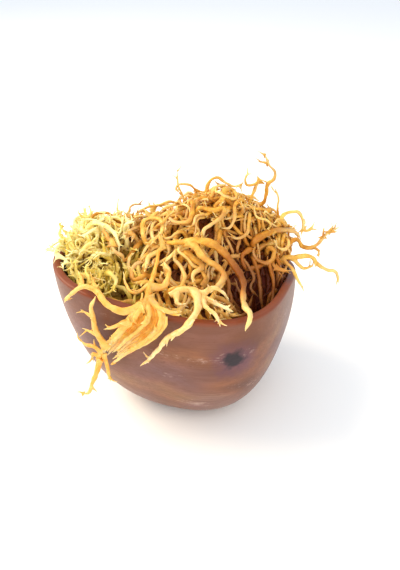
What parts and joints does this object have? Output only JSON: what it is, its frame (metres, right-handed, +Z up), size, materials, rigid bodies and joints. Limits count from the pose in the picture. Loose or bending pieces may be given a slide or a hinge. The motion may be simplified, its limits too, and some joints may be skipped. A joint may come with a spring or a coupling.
{
  "type": "bowl of dried irish moss",
  "caption": "Dried irish moss heaped in a rounded square wooden bowl, curling out at the top and side and draped over the rim.",
  "frame": {"origin": "middle of the bowl's flat foot, on the surface that it stands on", "axes": "+Z up; +X to the right of someone who faces the side that the moss drapes over, so -Y points to them"},
  "size_m": [0.1762, 0.1525, 0.1539],
  "materials": {
    "wood": "oiled hardwood, satin",
    "golden": "dried seaweed, golden brown, semi-translucent",
    "amber": "dried seaweed, amber, semi-translucent",
    "pale": "dried seaweed, pale straw, matt",
    "green": "dried seaweed, yellow green, matt"
  },
  "bodies": {
    "root": {"bowl": "wood", "draped_frond": "amber", "arched_frond": "golden", "rim_sprig": "pale", "crown_bunch": "golden", "right_bunch": "golden", "centre_bunch": "golden", "front_bunch": "golden", "hollow_bunch": "golden", "back_left_bunch": "golden", "back_right_bunch": "golden", "pale_tuft": "pale", "green_tuft": "green"}
  },
  "joints": []
}
